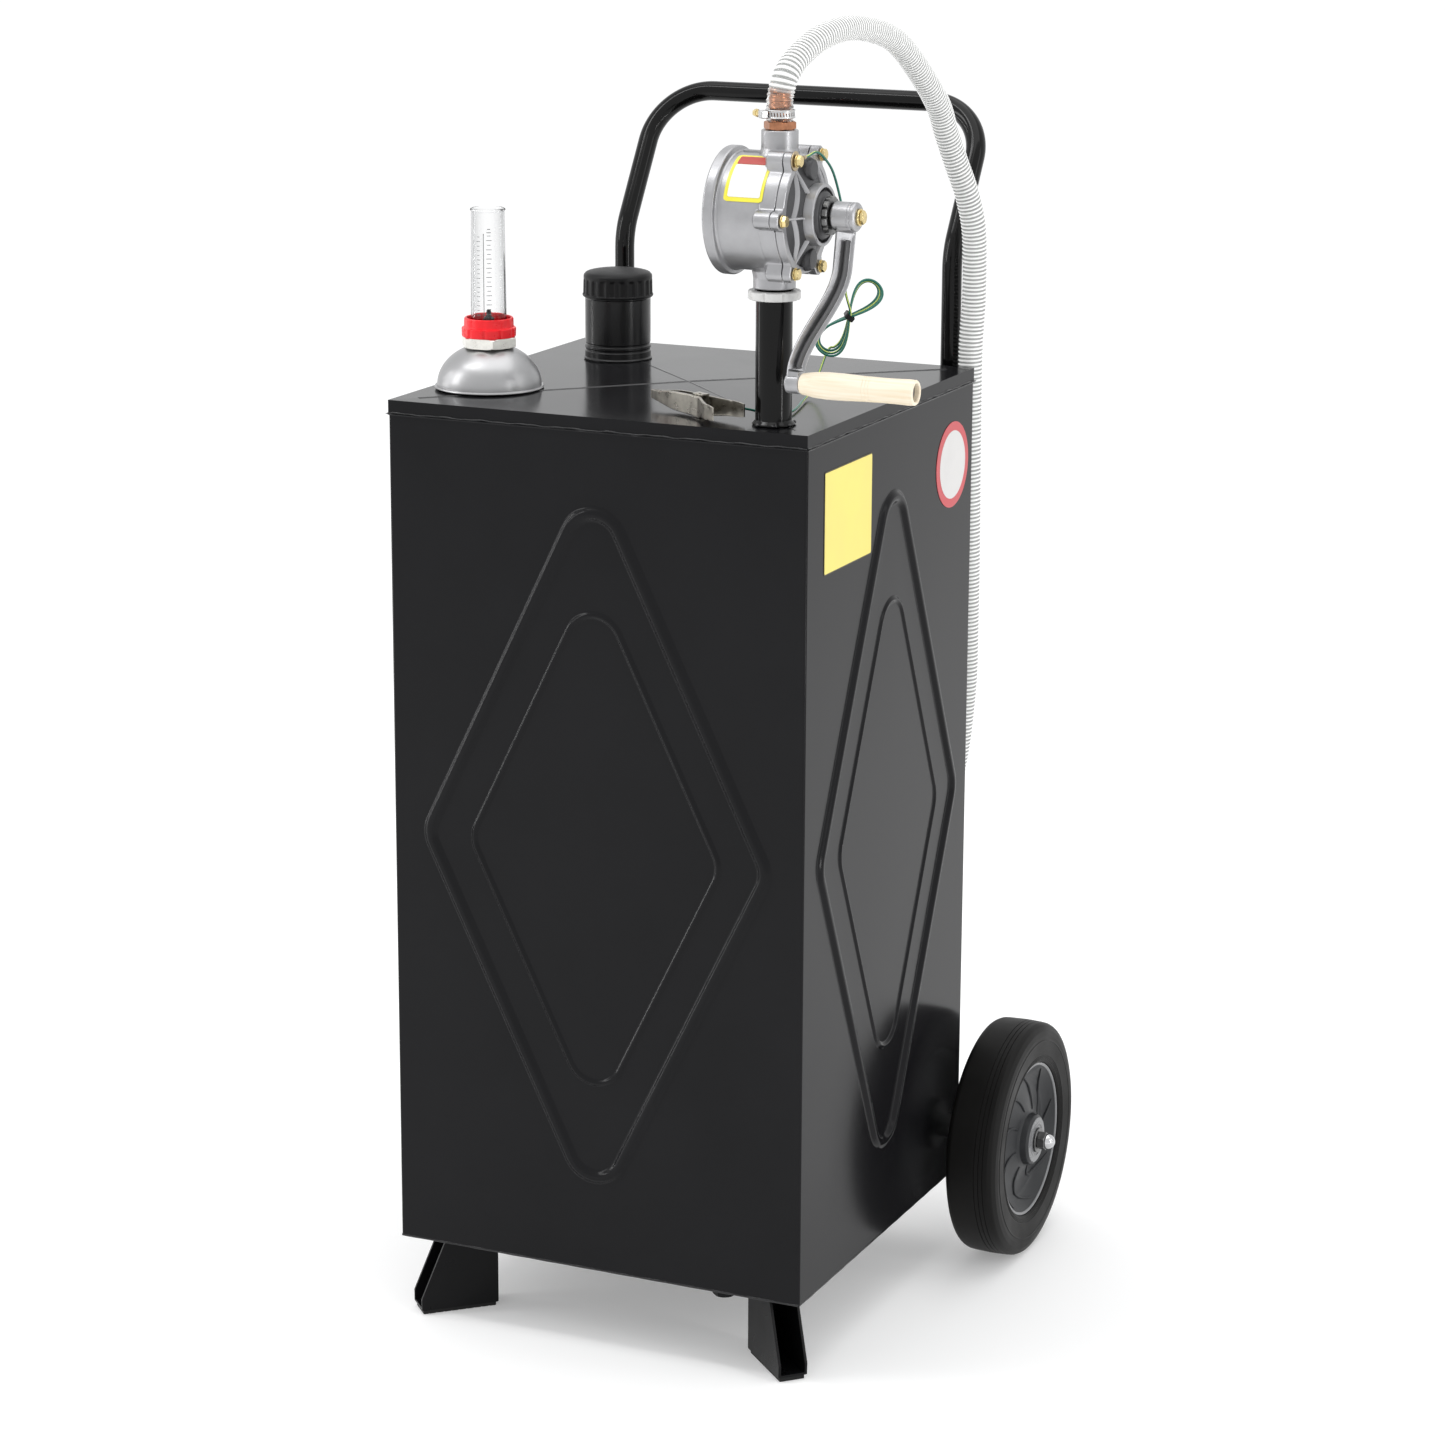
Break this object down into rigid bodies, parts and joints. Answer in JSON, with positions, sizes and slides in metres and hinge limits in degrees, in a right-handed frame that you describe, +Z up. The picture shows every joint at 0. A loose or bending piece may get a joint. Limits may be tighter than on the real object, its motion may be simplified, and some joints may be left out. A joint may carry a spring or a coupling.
{
  "type": "fuel caddy",
  "caption": "Two-wheeled upright fuel tank with push handle, hand-cranked rotary pump on a stand pipe, clear ribbed hose, float gauge, screw filler cap and grounding clip.",
  "frame": {"origin": "centre of the bottom of the bounding box without the cords, on the ground", "axes": "+Z up, X across the caddy along the axle, +Y towards the wheels and the push handle, the pump is at +X"},
  "size_m": [0.613, 0.5544, 1.2391],
  "materials": {
    "black_gloss_paint": "gloss",
    "black_satin_paint": "satin",
    "black_plastic": "satin",
    "black_rubber": "matte",
    "tyre_rubber": "matte",
    "cast_silver_paint": "satin",
    "dome_silver": "satin",
    "zinc": "satin",
    "yellow_zinc": "satin",
    "chrome": "polished",
    "steel": "satin",
    "coppered_brass": "satin",
    "red_plastic": "gloss",
    "clear_plastic": "clear",
    "clear_hose": "clear, ribbed",
    "white_plastic": "satin",
    "rim_grey": "satin",
    "wood": "matte",
    "green_wire": "satin",
    "dark_nickel": "satin"
  },
  "bodies": {
    "caddy": {"axle": "steel", "axle_bracket": "black_satin_paint", "clip_jaw_fixed": "dark_nickel", "clip_spring": "steel", "cover_bolt_1": "yellow_zinc", "cover_bolt_2": "yellow_zinc", "cover_bolt_3": "yellow_zinc", "cover_bolt_4": "yellow_zinc", "cover_bolt_5": "yellow_zinc", "cover_bolt_6": "yellow_zinc", "drain_plug": "black_satin_paint", "filler_neck": "black_satin_paint", "foot_left": "black_satin_paint", "foot_pad_left": "black_rubber", "foot_pad_right": "black_rubber", "foot_right": "black_satin_paint", "gauge_collar": "red_plastic", "gauge_dome": "dome_silver", "gauge_fitting": "zinc", "gauge_stem": "steel", "gauge_tube": "clear_plastic", "ground_wire_hank": "green_wire", "ground_wire_lower": "green_wire", "ground_wire_upper": "green_wire", "handle_bracket_left": "black_satin_paint", "handle_bracket_right": "black_satin_paint", "hose": "clear_hose", "hose_barb": "coppered_brass", "hose_clamp": "steel", "hose_spout": "zinc", "left_axle_nut": "chrome", "packing_nut": "steel", "pipe_lock_nut": "zinc", "pump_body": "cast_silver_paint", "pump_cover": "cast_silver_paint", "push_handle": "black_satin_paint", "right_axle_nut": "chrome", "ring_terminal": "coppered_brass", "spout_holder": "steel", "stand_pipe": "black_satin_paint", "suction_tube": "white_plastic", "tank_lid": "black_gloss_paint", "tank_shell": "black_gloss_paint"},
    "lifting_gasket": {"cap_gasket": "black_rubber"},
    "cap": {"filler_cap": "black_plastic"},
    "float": {"float_arm": "steel", "gauge_float": "black_rubber"},
    "indicator": {"gauge_indicator": "black_plastic"},
    "crank": {"pump_rotor": "steel", "vane_1": "black_plastic", "vane_2": "black_plastic", "crank_arm": "cast_silver_paint", "crank_bolt": "yellow_zinc", "grip_spindle": "steel"},
    "grip": {"crank_grip": "wood"},
    "left_wheel": {"left_tyre": "tyre_rubber", "left_rim": "rim_grey"},
    "right_wheel": {"right_tyre": "tyre_rubber", "right_rim": "rim_grey"},
    "clip_jaw": {"clip_jaw_moving": "dark_nickel"}
  },
  "joints": [
    {"name": "cap_lift", "type": "slide", "parent": "caddy", "child": "lifting_gasket", "axis": [0, 0, 1], "range_m": [0, 0.021]},
    {"name": "cap_turn", "type": "hinge", "parent": "lifting_gasket", "child": "cap", "pos_m": [-0.121, 0.04965, 0.96542], "axis": [0, 0, 1], "range_deg": [0, 1260]},
    {"name": "float_swing", "type": "hinge", "parent": "caddy", "child": "float", "pos_m": [-0.181, -0.16085, 0.4845], "axis": [0, -1, 0], "range_deg": [0, 120]},
    {"name": "indicator_rise", "type": "slide", "parent": "caddy", "child": "indicator", "axis": [0, 0, 1], "range_m": [0, 0.09526]},
    {"name": "crank_turn", "type": "hinge", "parent": "caddy", "child": "crank", "pos_m": [0.159, -0.21335, 1.0765], "axis": [1, 0, 0], "continuous": true},
    {"name": "grip_turn", "type": "hinge", "parent": "crank", "child": "grip", "pos_m": [0.159, -0.24371, 0.93369], "axis": [1, 0, 0], "continuous": true},
    {"name": "left_wheel_turn", "type": "hinge", "parent": "caddy", "child": "left_wheel", "pos_m": [-0.259, 0.15965, 0.1175], "axis": [1, 0, 0], "continuous": true},
    {"name": "right_wheel_turn", "type": "hinge", "parent": "caddy", "child": "right_wheel", "pos_m": [0.259, 0.15965, 0.1175], "axis": [1, 0, 0], "continuous": true},
    {"name": "clip_open", "type": "hinge", "parent": "caddy", "child": "clip_jaw", "pos_m": [0.0845, -0.20885, 0.9009], "axis": [0, 0, 1], "range_deg": [0, 24], "stiffness_Nm_per_rad": 0.2, "springref_deg": -17.19}
  ],
  "couplings": [
    {"joint": "cap_lift", "follows": "cap_turn", "m_per_rad": 0.00095493},
    {"joint": "indicator_rise", "follows": "float_swing", "m_per_rad": 0.045483}
  ]
}
